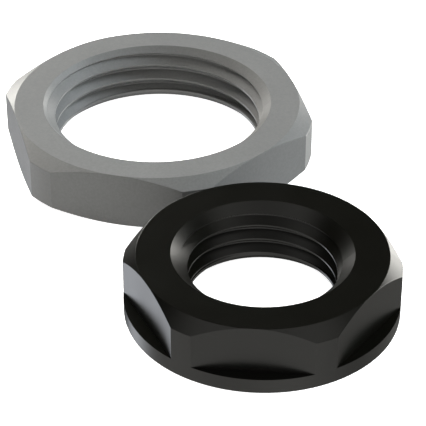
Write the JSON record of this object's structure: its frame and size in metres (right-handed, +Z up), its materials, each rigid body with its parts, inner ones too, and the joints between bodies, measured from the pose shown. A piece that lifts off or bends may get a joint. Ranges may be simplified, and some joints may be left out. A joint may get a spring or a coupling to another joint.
{
  "type": "cable gland locknut set",
  "caption": "Plain hexagon locknut and a collared hexagon locknut for cable glands, each with a countersunk threaded bore.",
  "frame": {"origin": "middle of the pair's outline, on the surface that both locknuts lie on with their seating faces", "axes": "+Z up along both thread axes, +Y from the collar locknut towards the plain locknut, +X to the right when looking along +Y"},
  "size_m": [0.032, 0.046, 0.005],
  "materials": {
    "grey_polyamide": "satin, finely moulded",
    "black_polyamide": "satin, finely moulded"
  },
  "bodies": {
    "plain_nut": {"plain_locknut": "grey_polyamide"},
    "collar_nut": {"collar_locknut": "black_polyamide"}
  },
  "joints": [
    {"name": "collar_nut_turn", "type": "hinge", "parent": "plain_nut", "child": "collar_nut", "pos_m": [0.0055, -0.0125, 0], "axis": [0, 0, 1], "continuous": true}
  ]
}
